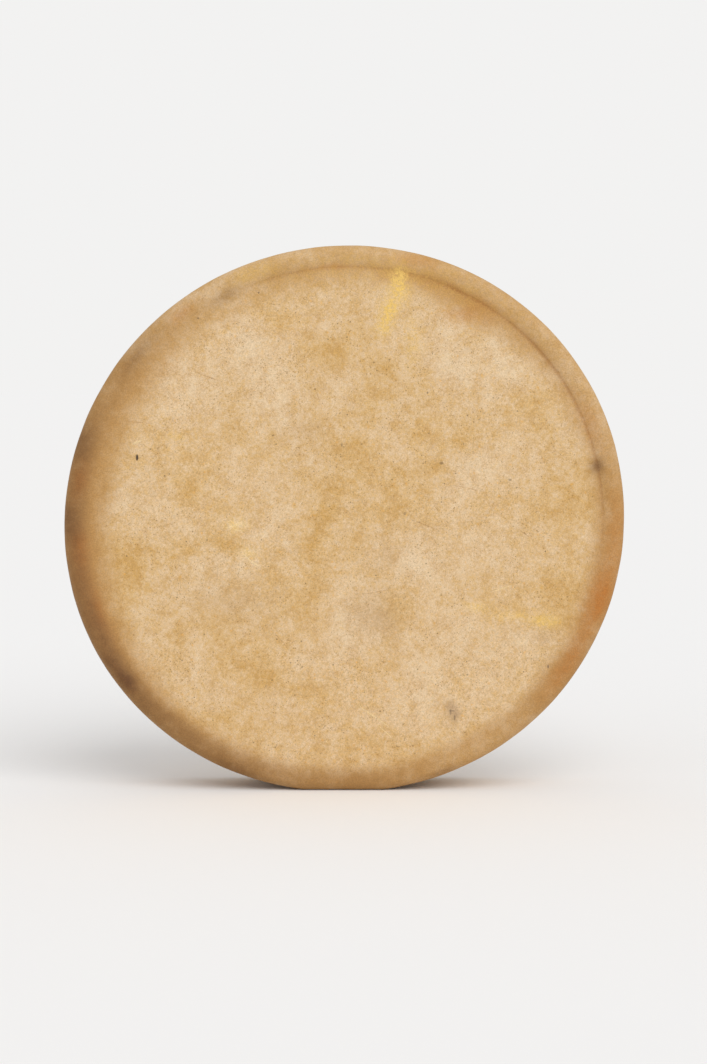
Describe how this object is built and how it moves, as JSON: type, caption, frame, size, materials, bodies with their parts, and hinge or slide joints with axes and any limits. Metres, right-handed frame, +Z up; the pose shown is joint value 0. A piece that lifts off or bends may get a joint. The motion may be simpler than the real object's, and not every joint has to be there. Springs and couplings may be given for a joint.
{
  "type": "ceremonial frame drum",
  "caption": "Round hand-held ritual frame drum: rawhide drawn over a bent wooden hoop and laced at the open back to a hand ring, standing on the foot of its rim.",
  "frame": {"origin": "on the ground under the middle of the drum, at the middle of the bounding box's underside", "axes": "+Z up, +Y along the drum's axis from the playing face to the open back, +X to the right seen from the playing side"},
  "size_m": [0.401, 0.06, 0.3904],
  "materials": {
    "rawhide_skin": "dry untanned hide, matte with a faint waxy gloss on the rubbed rim, mottled and smoke-stained",
    "hoop_wood": "planed bent wood, unvarnished, darkened by handling",
    "rawhide_lace": "twisted dried hide strip, slightly glossy",
    "ring_wood": "bent twig ring, polished by the hand"
  },
  "bodies": {
    "root": {"drumhead": "rawhide_skin", "hoop": "hoop_wood", "lacing": "rawhide_lace", "hand_ring": "ring_wood"}
  },
  "joints": []
}
